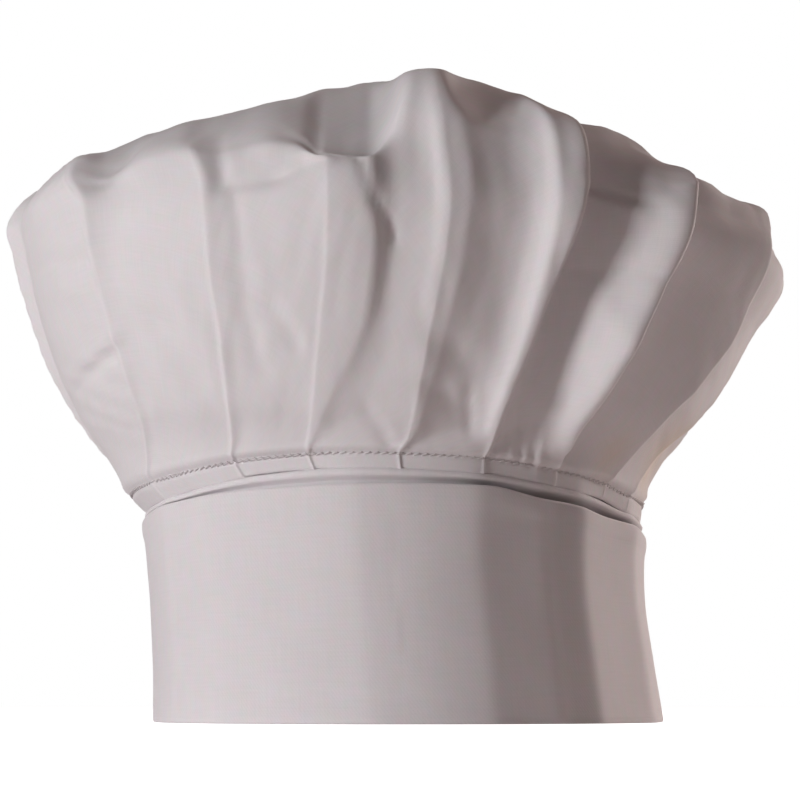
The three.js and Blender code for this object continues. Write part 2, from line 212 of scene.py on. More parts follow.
def panel_curves(pitch, shape):
    """The cloth of each pleat, in mm across and out, from its edge to the next edge."""
    crest, turned, rise, valley, trough, full = shape
    following = np.roll(crest, -1)
    across = np.zeros((PLEAT_COUNT, PANEL_STEPS))
    out = np.zeros((PLEAT_COUNT, PANEL_STEPS))
    for k in range(PLEAT_COUNT):
        bottom = min(-trough[k], crest[k] - LEAST_DROP)
        foot = max(LEAST_VALLEY, min(valley[k], VALLEY_WITHIN * pitch[k]))
        ledge = min(turned[k], LEDGE_WITHIN * foot)
        rest = pitch[k] - foot
        arrival = following[k] - EDGE_PUFF * min(1, following[k])
        puff_starts = pitch[k] - min(PUFF_WIDTH * min(1, following[k]), PUFF_WITHIN * rest)
        climb = arrival - bottom
        brow = crest[k] + rise[k]
        drop, slope = brow - bottom, foot - ledge
        corners = [(0.0, crest[k]), (ledge + BROW_WIDTH, brow - BROW_DROP * drop)]
        corners += [(ledge + way * slope, brow - fallen * drop) for way, fallen in FALL]
        corners += [(foot, bottom)]
        corners += [(foot + way * rest, bottom + (up + more * full[k]) * climb) for way, up, more in CLIMB]
        corners += [(puff_starts, arrival), (pitch[k], following[k])]
        corners = np.array(corners)
        across[k] = np.linspace(0, 1, PANEL_STEPS, endpoint=False) ** STEP_GROWTH * pitch[k]
        out[k] = smooth_rows(corners[:, 0], corners[:, 1:], across[k])[:, 0]
    return across, out


# The mesh is finest where the front shows it. The last panel runs round to the front again.
PANEL_COLUMNS = np.array([34] * 7 + [22] * 2 + [12] * (BACK_PLEATS - 1) + [34])
CROWN_COLUMNS = int(np.sum(PANEL_COLUMNS))
CROWN_PLACES = np.concatenate([np.linspace(0, 0.055, 18), np.linspace(0.063, 0.985, 97)])
FADES_OVER, FADED = 0.1, 0.8  # how far up a pleat fades once it ends, and how much of it is gone then
FLAT_MIDDLE = 5  # the pleats also fade over the last fifth of the way to the middle of the top
RING_POINTS = 8192  # even steps round a ring, for blurring it
COLUMN_CROWDING = 0.75  # how much closer the columns lie at a fold than in mid panel


def pleated_ring(place):
    """One ring of the crown: each column's angle, how far it stands out and its share of the cloth, then
    the ring's row of sizes and each column's way to the nearest fold."""
    row = smooth_rows(CROWN_ROWS[:, 0], CROWN_ROWS[:, 1:], place)[0]
    half, deeper, soft = row[1], row[3], row[6]
    edge = smooth_rows(EDGE_PLACES, EDGE_ROWS, place)[0]
    shape = smooth_rows(SECTION_PLACES, SECTION_ROWS, place)[0].reshape(PLEAT_COUNT, -1).T.copy()
    past = np.clip((place - ENDED) / FADES_OVER, 0, 1)
    # What fades is the edge, the rise beyond it and the valley.
    shape[[0, 2, 4]] *= (1 - FADED * eased(past)) * min(1, FLAT_MIDDLE * (1 - place))
    per_degree = math.radians(1) * (half + deeper / 2)
    around = 360 * per_degree
    pitch = (np.roll(edge, -1) - edge) % 360 * per_degree
    start = edge[0] * per_degree + np.concatenate([[0], np.cumsum(pitch)[:-1]])
    across, out = panel_curves(pitch, shape)
    lap = np.stack([(start[:, None] + across).ravel(), out.ravel()], axis=-1)
    lap = np.append(lap, [(start[0] + around, shape[0, 0])], axis=0)
    length = np.concatenate([[0], np.cumsum(np.hypot(*np.diff(lap, axis=0).T))])
    ends = length[::PANEL_STEPS]
    # The folds are rounded by blurring the ring along its own cloth.
    along = np.linspace(0, length[-1], RING_POINTS, endpoint=False)
    even = around * along / length[-1]
    sideways = np.interp(along, length, lap[:, 0]) - even
    stand = np.interp(along, length, lap[:, 1])
    waves = np.fft.rfftfreq(RING_POINTS, length[-1] / RING_POINTS)
    blur = np.exp(-2 * (math.pi * soft * waves) ** 2)
    sideways = np.fft.irfft(np.fft.rfft(sideways) * blur, RING_POINTS) + even
    stand = np.fft.irfft(np.fft.rfft(stand) * blur, RING_POINTS)
    marks, from_edge = [], []
    for k in range(PLEAT_COUNT):
        t = np.arange(PANEL_COLUMNS[k]) / PANEL_COLUMNS[k]
        shares = t - COLUMN_CROWDING * np.sin(2 * math.pi * t) / (2 * math.pi)
        panel = ends[k + 1] - ends[k]
        marks.extend(ends[k] + panel * shares)
        from_edge.extend(panel * np.minimum(shares, 1 - shares))
    marks = np.array(marks)
    along = np.append(along, length[-1])
    angle = np.interp(marks, along, np.append(sideways, sideways[0] + around)) / per_degree
    out = np.interp(marks, along, np.append(stand, stand[0]))
    return angle, out, marks / length[-1], row, np.array(from_edge)


def blur_round(values, spread):
    """The same values all the way round, each one shared with its neighbours."""
    waves = np.fft.rfftfreq(len(values))
    return np.fft.irfft(np.fft.rfft(values) * np.exp(-2 * (math.pi * spread * waves) ** 2), len(values))


# The bends that the stiff cuff has: it lies a little flat from one to the next. In degrees from the
# front, with how flat it lies beyond each one.
BAND_BENDS = [
    (-118.0, 0.4), (-88.0, 0.4), (-60.0, 0.9), (-44.0, 0.3), (-8.0, 0.2), (17.2, 1.0), (32.6, 1.0),
    (43.5, 1.1), (66.0, 0.6), (92.0, 0.4), (125.0, 0.4), (158.0, 0.3), (202.0, 0.4),
]
BEND_SPREAD = 1.3  # how far a bend is rounded, degrees
BAND_RADIUS = 92.0  # the cuff's mean radius, mm
BAND_COLUMNS = 480
BAND_ANGLES = np.arange(BAND_COLUMNS) * 360 / BAND_COLUMNS


def from_front(angle):
    """The same angle, in degrees from the front, to the left below 0 and to the right above it."""
    return (np.asarray(angle) + 180) % 360 - 180


def band_swell():
    """How far out from its oval the cuff lies at each column, mm. Between two bends it lies in."""
    first = BAND_BENDS[0][0]
    angle = (BAND_ANGLES - first) % 360 + first
    swell = np.zeros(BAND_COLUMNS)
    starts = [start for start, flat in BAND_BENDS] + [first + 360]
    for (start, flat), end in zip(BAND_BENDS, starts[1:]):
        share = (angle - start) / (end - start)
        inside = (share >= 0) & (share < 1)
        rise = 0.5 * BAND_RADIUS * (math.radians(end - start) / 2) ** 2
        swell[inside] = -flat * rise * 4 * share[inside] * (1 - share[inside])
    return blur_round(swell, BEND_SPREAD * BAND_COLUMNS / 360)


BAND_SWELL = band_swell()
SWELL_ENDS = 0.08  # the place where the crown has stopped following the cuff's bends


def neck_share(place, ends):
    """How much the crown still follows the neck at a place."""
    return 1 - eased(min(1, place / ends))


def neck_drop(angle, place):
    """How much higher the crown lies where it follows the uneven line of the neck, mm."""
    line = smooth_rows(NECK_LINE[:, 0], NECK_LINE[:, 1:], from_front(angle))[:, 0]
    return line * neck_share(place, NECK_ENDS)


# The creases and dents that the cloth has got from wear, seen from the front: where each one starts and
# ends, across and up, its width, and how far it stands out or sinks in, all in mm.
CREASES = [
    (-107, 109, -88, 115, 3.0, -1.3),
    (-104, 112, -88, 119, 4.0, 0.9),
    (-120, 147, -96, 143, 2.5, -0.9),
    (-120, 142, -95, 134, 4.5, 0.9),
    (-85, 190, -92, 172, 5.0, -1.6),
    (-90, 135, -70, 119, 5.0, -0.9),
    (-72, 121, -61, 106, 5.0, -1.1),
    (-66, 128, -54, 112, 5.0, 0.7),
    (-51, 158, -35, 160, 3.0, -0.9),
    (-21, 172, -22, 192, 7.0, 2.6),
    (-2, 175, -1, 191, 6.0, -2.8),
    (-88, 183, -78, 190, 5.0, -1.4),
    (-35, 160, -21, 164, 3.0, -1.0),
    (-43, 170, -36, 172, 9.0, 1.4),
    (-53, 184, -51, 163, 3.5, -1.2),
    (-26, 178, -15, 165, 3.5, -0.9),
    (-33, 188, -17, 171, 3.5, 0.6),
    (-47, 154, -45, 140, 2.5, -0.7),
    (-45, 133, -36, 120, 4.0, -0.9),
    (-36, 122, -29, 113, 3.0, -0.8),
    (-41, 128, -34, 118, 3.0, 0.6),
    (-44, 123, -39, 106, 3.5, -0.6),
    (-11, 167, -5, 151, 2.2, -0.9),
    (-5, 151, 0, 140, 2.0, -0.7),
    (-15, 168, -9, 163, 3.0, -0.5),
    (-7, 92, -2, 84, 3.0, -0.7),
    (14, 112, 23, 104, 6.0, -0.9),
    (26, 101, 32, 99, 5.0, 0.7),
    (23, 97, 23, 88, 2.0, -0.6),
    (12, 98, 20, 93, 4.0, -0.7),
    (33, 90, 32, 80, 1.4, 0.5),
    (36, 91, 36, 80, 1.4, 0.6),
    (40, 90, 40, 79, 1.3, 0.5),
    (44, 89, 44, 78, 1.3, 0.5),
    (38, 90, 38, 79, 1.2, -0.5),
    (42, 90, 42, 79, 1.2, -0.5),
    (57, 162, 69, 156, 3.0, -1.0),
    (60, 157, 67, 153, 3.0, 0.9),
    (59, 134, 68, 137, 3.5, -0.7),
    (60, 124, 66, 112, 5.0, 0.8),
]
CREASE_SHARPNESS, CREASE_RUNS_ON = 1.6, 1.2  # how sharp a crease is across, and how far its ends run on


def crease_depth(x, z):
    """How far the creases push the cloth out at each point, as seen from the front."""
    depth = np.zeros(np.shape(x))
    for x1, z1, x2, z2, width, push in CREASES:
        length = math.hypot(x2 - x1, z2 - z1)
        along = ((x - x1) * (x2 - x1) + (z - z1) * (z2 - z1)) / length
        off = ((x - x1) * (z2 - z1) - (z - z1) * (x2 - x1)) / length
        beyond = np.maximum(0, np.maximum(-along, along - length))
        fading = (beyond / (CREASE_RUNS_ON * width)) ** 2
        depth += push * np.exp(-((off / width) ** 2) * CREASE_SHARPNESS - fading)
    return depth


STITCH_PLACE = 0.032
GROOVE, GROOVE_WIDTH = 0.55, 0.005  # how far the stitches pull the cloth in, mm, and over which places
ROLL, ROLL_ABOVE, ROLL_WIDTH = 0.55, 0.014, 0.009  # how far it swells above them, mm, where and how wide
FOOT_CURL = 0.008  # below this place the strip's lower edge is rolled in by up to 1 mm


def seam_swell(place):
    """How far the cloth stands out near the stitches, mm."""
    groove = math.exp(-(((place - STITCH_PLACE) / GROOVE_WIDTH) ** 2))
    roll = math.exp(-(((place - STITCH_PLACE - ROLL_ABOVE) / ROLL_WIDTH) ** 2))
    curl = max(0, 1 - place / FOOT_CURL) ** 2
    return ROLL * roll - GROOVE * groove - curl


# Painted warm glow, standing in for light shining through the cloth: degrees from the front and place, how
# many degrees and how far up each spot reaches, and how strong it is.
GLOW_SPOTS = [(51.0, 0.09, 3.2, 0.05, 0.45), (77.0, 0.12, 8.0, 0.07, 0.9)]
HIGHLIGHT_WIDTH, HIGHLIGHT_FADES_AT = 0.7, 0.75  # how wide the painted highlight along the fold edges is, mm, and the place where it has faded
FOOT_HIGHLIGHT = 0.005  # up to about this place the strip's lower edge gets a painted highlight
TOP_SHADE, TOP_SHADE_FROM, TOP_SHADE_FULL = 2.2, 0.70, 0.78  # how dark the painted shade on the top is, and between which places it comes in
TOP_SHADE_LEFT, TOP_SHADE_ENDS = -5.0, 20.0  # across the top, where that painted shade starts to fade and has gone, mm
# How dark the painted shade on the stitched strip is, and the places between which it ends.
STRIP_SHADE = 0.6
STRIP_SHADE_ENDS = (STITCH_PLACE - 0.001, STITCH_PLACE + 0.002)
BUMPS, BUMP_WIDTH, BUMP_HEIGHT = 0.5, 11.0, 30.0  # how uneven the cloth lies and over how much, mm
FINER, FINE_SHARE = 2.7, 0.4  # how much finer its smaller bumps are, and how high beside the others
SLOPE_STEP = 0.002  # the places on both sides from which the crown's slope is taken
# How soon above the foot these come in fully: creases at one 40th of the way up, and so on.
CREASES_GROW, BUMPS_GROW, FLOP_GROWS = 40, 8, 2


def lower_of(first, second, soft):
    """The lower of two heights, bending softly from one to the other."""
    return -soft * np.logaddexp(-first / soft, -second / soft)


def top_line(x, y):
    """How much higher the top of the crown lies at each point, mm."""
    bumpy = smooth_rows(TOP_LINE[:, 0], TOP_LINE[:, 1:], x)[:, 0]
    calm = smooth_rows(CALM_LINE[:, 0], CALM_LINE[:, 1:], x)[:, 0]
    return bumpy + (calm - bumpy) * eased(ramp(y, CALM_FROM, CALM_AT))


def turned_height(x, a, reach):
    """How high the cloth can stand at each point before it turns back over the top, mm."""
    front = np.clip(TURN_WIDTH * np.cos(a), 0, 1)
    line = smooth_rows(TURN_LINE[:, 0], TURN_LINE[:, 1:], x)[:, 0]
    return line + (TURN_LIFT * (1 - front) + TURN_SLOPE * max(0, TURN_REACH - reach))


def bumps(a, half, height):
    """How uneven the cloth lies at each column of a ring, mm."""
    up = np.full(a.shape, height / BUMP_HEIGHT)
    spots = np.stack([a * half / BUMP_WIDTH, up, np.zeros(a.shape)], axis=-1)
    coarse = np.array([noise.noise(Vector(spot)) for spot in spots])
    fine = np.array([noise.noise(Vector(spot * FINER)) for spot in spots])
    return BUMPS * (coarse + FINE_SHARE * fine)


def crown_ring(place):
    """One ring of points, in mm, and what pleated_ring says of it."""
    angle, out, share, row, from_edge = pleated_ring(place)
    height, half, drift, deeper, left, right, _ = row
    below, above = max(0, place - SLOPE_STEP), min(1, place + SLOPE_STEP)
    near = smooth_rows(CROWN_ROWS[:, 0], CROWN_ROWS[:, 1:3], [below, above])
    rise, narrow = near[1, 0] - near[0, 0], near[0, 1] - near[1, 1]
    facing_out, facing_up = rise / math.hypot(rise, narrow), narrow / math.hypot(rise, narrow)
    a = np.radians(angle)
    side = np.sin(a)
    middle = drift + np.where(side > 0, right, -left) * side * side
    x, z = middle + half * side, height - CROWN_FLOP * half * side
    out += crease_depth(x, z) * np.clip(2 * np.cos(a), 0, 1) * min(1, CREASES_GROW * place)
    bends = np.interp(angle % 360, BAND_ANGLES, BAND_SWELL, period=360)
    out += seam_swell(place) + bends * neck_share(place, SWELL_ENDS)
    out += bumps(a, half, height) * min(1, BUMPS_GROW * place)
    x = middle + (half + out * facing_out) * side
    y = -(half + deeper + out * facing_out) * np.cos(a)
    follow = eased(ramp(place, TOP_STARTS, TOP_FULL))
    flop = CROWN_FLOP * min(1, FLOP_GROWS * place)
    z = height + out * facing_up + follow * top_line(x, y) - flop * x
    z += neck_drop(angle, place)
    z = lower_of(z, turned_height(x, a, half + deeper), TURN_SOFT)
    return np.stack([x, y, z], axis=-1), angle, share, row, from_edge


def painted_light_and_shade(place, x, from_edge):
    """Painted light and shade at each point of a ring: above 0 a painted highlight, below 0 painted shade.
    """
    marks = np.exp(-((from_edge / HIGHLIGHT_WIDTH) ** 2)) * max(0, 1 - place / HIGHLIGHT_FADES_AT)
    # Painted shade darkens the top, most of all on the left.
    marks -= TOP_SHADE * (1 - ramp(x, TOP_SHADE_LEFT, TOP_SHADE_ENDS)) * ramp(place, TOP_SHADE_FROM, TOP_SHADE_FULL)
    # The strip's lower edge gets a painted highlight too, and the strip itself a little painted shade.
    foot = math.exp(-((place / FOOT_HIGHLIGHT) ** 2))
    in_strip = 1 - ramp(place, *STRIP_SHADE_ENDS)
    return marks + foot - STRIP_SHADE * (1 - foot) * in_strip


def painted_warm_glow(place, angle):
    """How much painted warm glow, standing in for light through the cloth, each point of a ring gets."""
    warm_glow_amount = np.zeros(angle.shape)
    for turned, low, spread, reach, strength in GLOW_SPOTS:
        warm_glow_amount += strength * np.exp(-(((angle - turned) / spread) ** 2) - ((place - low) / reach) ** 2)
    return warm_glow_amount


def crown_rings():
    """The crown's rings of points, in mm, where each point lay on the flat disc, in metres, and the painted
    highlight or shade and the painted warm glow at each point."""
    shape = (len(CROWN_PLACES), CROWN_COLUMNS)
    points, disc = np.zeros(shape + (3,)), np.zeros(shape + (2,))
    painted_tone, warm_glow_amount = np.zeros(shape), np.zeros(shape)
    walked, last = 0.0, None
    for r, place in enumerate(CROWN_PLACES):
        points[r], angle, share, row, from_edge = crown_ring(place)
        height, half = row[:2]
        if last is not None:
            walked += math.hypot(height - last[0], half - last[1])
        last = (height, half)
        around = 2 * math.pi * share
        disc[r] = (CROWN_RADIUS - walked) * np.stack([np.sin(around), -np.cos(around)], axis=-1)
        painted_tone[r] = painted_light_and_shade(place, points[r, :, 0], from_edge)
        warm_glow_amount[r] = painted_warm_glow(place, angle)
    return points, disc * MM, painted_tone, warm_glow_amount


def wrap_cloth(name, points):
    """A closed tube of cloth: a grid is added, and its corners are laid on rings of points, in mm."""
    rows, columns = points.shape[:2]
    bpy.ops.object.select_all(action="DESELECT")
    bpy.ops.mesh.primitive_grid_add(x_subdivisions=columns, y_subdivisions=rows - 1, size=1)
    piece = bpy.context.object
    piece.name = piece.data.name = name
    grid = np.zeros(len(piece.data.vertices) * 3)
    piece.data.vertices.foreach_get("co", grid)
    grid = grid.reshape(-1, 3)
    column = np.rint((grid[:, 0] + 0.5) * columns).astype(int)
    row = np.rint((grid[:, 1] + 0.5) * (rows - 1)).astype(int)
    laid = points[row, column % columns] + HAT_MIDDLE
    piece.data.vertices.foreach_set("co", (laid * MM).ravel())
    return piece, row, column


def lay_flat_map(piece, places):
    """A UV map that holds, in metres, where each point of the cloth lay before it was sewn."""
    layer = piece.data.uv_layers[0] if piece.data.uv_layers else piece.data.uv_layers.new()
    layer.name = "cloth"
    corner = np.zeros(len(piece.data.loops), int)
    piece.data.loops.foreach_get("vertex_index", corner)
    layer.data.foreach_set("uv", places[corner].astype(np.float32).ravel())


def mark_cloth(piece, name, values):
    """A number for each point of the cloth, which its material reads."""
    piece.data.attributes.new(name, "FLOAT", "POINT").data.foreach_set("value", values)


SEAM_REACH = 0.000005  # points nearer to each other than this are joined, metres


def close_seam(piece):
    """Joins the first column to the last, and turns the cloth's faces outwards."""
    bpy.ops.object.mode_set(mode="EDIT")
    bpy.ops.mesh.select_all(action="SELECT")
    bpy.ops.mesh.remove_doubles(threshold=SEAM_REACH)
    bpy.ops.mesh.normals_make_consistent(inside=False)
    bpy.ops.object.mode_set(mode="OBJECT")
    bpy.ops.object.shade_smooth()


def thicken(piece, thickness):
    """Gives the cloth its thickness, inwards."""
    solid = piece.modifiers.new("thickness", "SOLIDIFY")
    solid.thickness = thickness * MM
    solid.offset = -1
    bpy.context.view_layer.objects.active = piece
    bpy.ops.object.modifier_apply(modifier=solid.name)


points, disc, painted_tone, warm_glow_amount = crown_rings()
# The middle of the top is one point, so the last ring is drawn in to it.
top = CROWN_ROWS[-1, 1] + top_line(0.0, 0.0)[0]
points = np.concatenate([points, np.broadcast_to((0.0, 0.0, top), (1, CROWN_COLUMNS, 3))])
disc = np.concatenate([disc, np.zeros((1, CROWN_COLUMNS, 2))])
painted_tone = np.concatenate([painted_tone, painted_tone[-1:]])
warm_glow_amount = np.concatenate([warm_glow_amount, warm_glow_amount[-1:]])
crown, row, column = wrap_cloth("crown_cloth", points)
lay_flat_map(crown, disc[row, column % CROWN_COLUMNS])
# Painted highlights on the fold edges and the strip's foot, and painted shade on the top and the strip.
mark_cloth(crown, "painted_light_shade", painted_tone[row, column % CROWN_COLUMNS])
# Painted warm glow where light would shine through the cloth.
mark_cloth(crown, "painted_glow", warm_glow_amount[row, column % CROWN_COLUMNS])
close_seam(crown)
thicken(crown, CROWN_CLOTH)


def node_graph(name):
    """A new material and short ways to add, join and reckon with its nodes."""
    material = bpy.data.materials.new(name)
    material.use_nodes = True
    tree = material.node_tree
    shader = tree.nodes["Principled BSDF"]

    def add(kind, inputs=None, **settings):
        node = tree.nodes.new(kind)
        for key, value in settings.items():
            setattr(node, key, value)
        for key, value in (inputs or {}).items():
            if isinstance(value, bpy.types.NodeSocket):
                tree.links.new(value, node.inputs[key])
            else:
                node.inputs[key].default_value = value
        return node

    def reckon(operation, *values):
        return add("ShaderNodeMath", dict(enumerate(values)), operation=operation).outputs[0]

    return material, tree, shader, add, reckon


def yarns(reckon, across, pitch):
    """Round yarns that lie side by side: a wave that turns over at each gap, and how high they stand."""
    wave = reckon("SINE", reckon("MULTIPLY", across, math.pi / pitch))
    return wave, reckon("ABSOLUTE", wave)


def plain_weave(reckon, u, v, pitch):
    """Warp and weft yarns that pass over each other in turn."""
    warp_wave, warp = yarns(reckon, u, pitch)
    weft_wave, weft = yarns(reckon, v, pitch)
    warp_on_top = reckon("GREATER_THAN", reckon("MULTIPLY", warp_wave, weft_wave), 0)
    return reckon("MULTIPLY_ADD", warp_on_top, reckon("SUBTRACT", warp, weft), weft)


TWILL_ACROSS, TWILL_UP = 0.78, 0.62  # the direction across the twill's ridges
TWILL_YARN, RIDGE_SHARE = 0.4, 0.75  # the upright yarns' pitch beside the ridges', and the ridges' share


def twill_weave(reckon, u, v, pitch):
    """Ridges that run down to the right over fine upright yarns."""
    across = reckon("MULTIPLY_ADD", v, TWILL_UP, reckon("MULTIPLY", u, TWILL_ACROSS))
    ridge = yarns(reckon, across, pitch)[1]
    yarn = yarns(reckon, u, TWILL_YARN * pitch)[1]
    return reckon("MULTIPLY_ADD", ridge, RIDGE_SHARE, reckon("MULTIPLY", yarn, 1 - RIDGE_SHARE))


MEAN_HEIGHT = 0.64  # of the yarns, as a share of their full height
YARN_RUN, YARN_FINENESS = 70, 1600  # how often its thickness changes along a yarn and across, per metre
BLOTCHES = 60  # and the cloth's tone, per metre
YARN_TONE, BLOTCH_TONE, PAINTED_LIGHT_TONE = 0.07, 0.05, 0.07  # how much of each shows; the last is the painted highlight and shade
STAINS = ((230, (0.11, -0.05, 0.0)), (170, (0.02, -0.02, 0.09)))  # faint tints: per metre, and their colour
GLOW_TINT = (0.04, -0.06, -0.2)  # what the painted warm glow does to the colour
ROUGHNESS, SMOOTHER = 0.95, 0.1  # how rough it is in the gaps, and how much less so on top of the yarns


def cotton(name, base, weave, pitch, gap_shade, relief):
    """White cotton with its weave laid on the cloth's flat map: pitch and relief in metres, and how dark the
    painted shade in the gaps between the yarns is. It reads the painted highlights, below 0 painted shade,
    and the painted warm glow."""
    material, tree, shader, add, reckon = node_graph(name)
    flat = add("ShaderNodeUVMap", uv_map="cloth").outputs["UV"]
    along = add("ShaderNodeSeparateXYZ", {"Vector": flat})
    height = weave(reckon, along.outputs["X"], along.outputs["Y"], pitch)

    def uneven(scale, size):
        place = add("ShaderNodeMapping", {"Vector": flat, "Scale": scale}).outputs["Vector"]
        cloud = add("ShaderNodeTexNoise", {"Vector": place, "Scale": size})
        return reckon("SUBTRACT", cloud.outputs["Fac"], 0.5)

    warp, weft = uneven((YARN_FINENESS, YARN_RUN, 1), 1), uneven((YARN_RUN, YARN_FINENESS, 1), 1)
    # Painted shade darkens the gaps between the yarns.
    tone = reckon("MULTIPLY_ADD", height, gap_shade, 1 - MEAN_HEIGHT * gap_shade)
    tone = reckon("MULTIPLY_ADD", reckon("ADD", warp, weft), YARN_TONE, tone)
    tone = reckon("MULTIPLY_ADD", uneven((1, 1, 1), BLOTCHES), BLOTCH_TONE, tone)
    # Painted highlights lighten the cloth and painted shade darkens it, as the cloth's marks say.
    painted_tone = add("ShaderNodeAttribute", attribute_name="painted_light_shade").outputs["Fac"]
    tone = reckon("MULTIPLY_ADD", painted_tone, PAINTED_LIGHT_TONE, tone)
    colour = add("ShaderNodeVectorMath", {0: base, "Scale": tone}, operation="SCALE").outputs[0]
    painted_glow = add("ShaderNodeAttribute", attribute_name="painted_glow").outputs["Fac"]
    # Faint random stains, then the painted warm glow.
    tints = [(tint, uneven((1, 1, 1), size)) for size, tint in STAINS] + [(GLOW_TINT, painted_glow)]
    for tint, amount in tints:
        stain_and_glow = add("ShaderNodeVectorMath", {0: tint, "Scale": amount}, operation="SCALE").outputs[0]
        colour = add("ShaderNodeVectorMath", {0: colour, 1: stain_and_glow}, operation="ADD").outputs[0]
    tree.links.new(colour, shader.inputs["Base Color"])
    tree.links.new(reckon("MULTIPLY_ADD", height, -SMOOTHER, ROUGHNESS), shader.inputs["Roughness"])
    bump = add("ShaderNodeBump", {"Height": height, "Strength": 1.0, "Distance": relief})
    tree.links.new(bump.outputs["Normal"], shader.inputs["Normal"])
    shader.inputs["Specular IOR Level"].default_value = 0.2
    shader.inputs["Sheen Weight"].default_value = 0.12
    shader.inputs["Sheen Roughness"].default_value = 0.5
    return material


WHITE_COTTON = (0.80, 0.762, 0.784)
cloth = cotton("cotton plain weave", WHITE_COTTON, plain_weave, pitch=0.00045, gap_shade=0.06, relief=0.00001)
crown.data.materials.append(cloth)
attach(crown, "root")
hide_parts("crown")

# Stitching
# One row of white thread that holds the pleated edge down on the binding, coloured pale grey as painted
# shade of its stitches. It runs over the cloth for each stitch and dips under it in between, and the strip
# below it stays flat.
STITCH_PITCH, THREAD = 2.65, 0.34  # from stitch to stitch, and the thread's thickness, mm
STEPS_PER_STITCH, THREAD_SIDES = 8, 6
THREAD_DIP = 3.4  # how deep it dips between two stitches, in half thicknesses
STITCH_SLANT = 0.9  # how much higher one end of a stitch lies than the other, mm
STRIP_LEAN = 0.6  # how far the strip leans out for each mm up
ROUND_FIT = 1.003  # the strip's length beside a circle's of its mean width

angle, out, _, row, _ = pleated_ring(STITCH_PLACE)
height, half, drift, deeper, left, right, _ = row
order = np.argsort(angle % 360)
angle, out = (angle % 360)[order], out[order]
round_length = math.pi * (2 * half + deeper) * ROUND_FIT
stitches = round(round_length / STITCH_PITCH)
steps = stitches * STEPS_PER_STITCH
a = np.radians(np.arange(steps) * 360 / steps)
phase = (np.arange(steps) % STEPS_PER_STITCH) / STEPS_PER_STITCH
surface = np.interp(np.degrees(a), angle, out, period=360) + seam_swell(STITCH_PLACE)
lift = 0.5 * THREAD * (1 - THREAD_DIP * np.maximum(0, np.cos(2 * math.pi * phase)) ** 2)
slant = STITCH_SLANT * (phase - 0.5)
side = np.sin(a)
middle = drift + np.where(side > 0, right, -left) * side * side
reach = half + surface + lift + STRIP_LEAN * slant
x, y = middle + reach * side, -(reach + deeper) * np.cos(a)
z = height + slant + neck_drop(np.degrees(a), STITCH_PLACE) - CROWN_FLOP * FLOP_GROWS * STITCH_PLACE * x
line = np.stack([x, y, z], axis=-1)
rings = []
for turn in np.linspace(0, 2 * math.pi, THREAD_SIDES + 1):
    ring = line.copy()
    ring[:, 0] += 0.5 * THREAD * math.cos(turn) * side
    ring[:, 1] -= 0.5 * THREAD * math.cos(turn) * np.cos(a)
    ring[:, 2] += 0.5 * THREAD * math.sin(turn)
    rings.append(ring)
thread, row, column = wrap_cloth("top_stitching", np.array(rings))
around_thread = row / THREAD_SIDES * math.pi * THREAD
lay_flat_map(thread, np.stack([column / steps * round_length, around_thread], axis=-1) * MM)
close_seam(thread)
# The thread's pale grey is painted shade of the stitches.
SHADED_THREAD_GREY = (0.66, 0.62, 0.63)
twisted = cotton("sewing thread", SHADED_THREAD_GREY, twill_weave, pitch=0.0003, gap_shade=0.3, relief=0.00002)
thread.data.materials.append(twisted)
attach(thread, "root")

# Band
# The stiff cuff that goes round the head: white cotton twill over interlining, folded double, with the
# fold at the top. It stands free of the crown's neck, and it has kept some soft upright bends.
BAND_HEIGHT = 70.0
BAND_WALL = 2.2
# Up the cuff: height, half width, half depth and drift to the right, mm.
BAND_ROWS = np.array([
    (0.0, 86.2, 100.6, 5.1),
    (20.0, 85.0, 100.0, 3.4),
    (40.0, 84.2, 99.6, 1.7),
    (56.0, 84.8, 99.8, 0.6),
    (68.8, 86.0, 100.0, 0.2),
])
TOP_ROW = BAND_ROWS[-1, 0]
# Round from the front, in degrees, and how much higher the cuff's top edge lies there, mm.
BAND_TOP_LINE = np.array([
    (-180.0, 0.0), (-130.0, 0.0), (-90.0, -2.6), (-60.0, -0.6), (-30.0, 1.2), (0.0, 1.8), (20.0, 1.5),
    (32.0, -1.5), (40.0, -2.5), (54.0, -5.2), (90.0, -7.8), (130.0, 0.0), (180.0, 0.0),
])
BAND_TURNED = from_front(BAND_ANGLES)
BAND_UNEVEN, UNEVEN_ROUND, UNEVEN_UP = 0.35, 26.0, 24.0  # how uneven the cuff lies and over how much, mm
UNEVEN_LAYER = 3.0  # the layer of the noise that this is taken from
HEM_PUCKER, HEM_HEIGHT, HEM_WIDTH = 0.45, 7.5, 2.0  # the hem's seam pulls it in: how far, where, how wide
PUCKER_AT, PUCKER_SPREAD = -14.0, 22.0  # and round from the front, degrees
ROLL_RISE = 3.5  # over this height above the cuff the roll comes to follow the crown's foot, mm


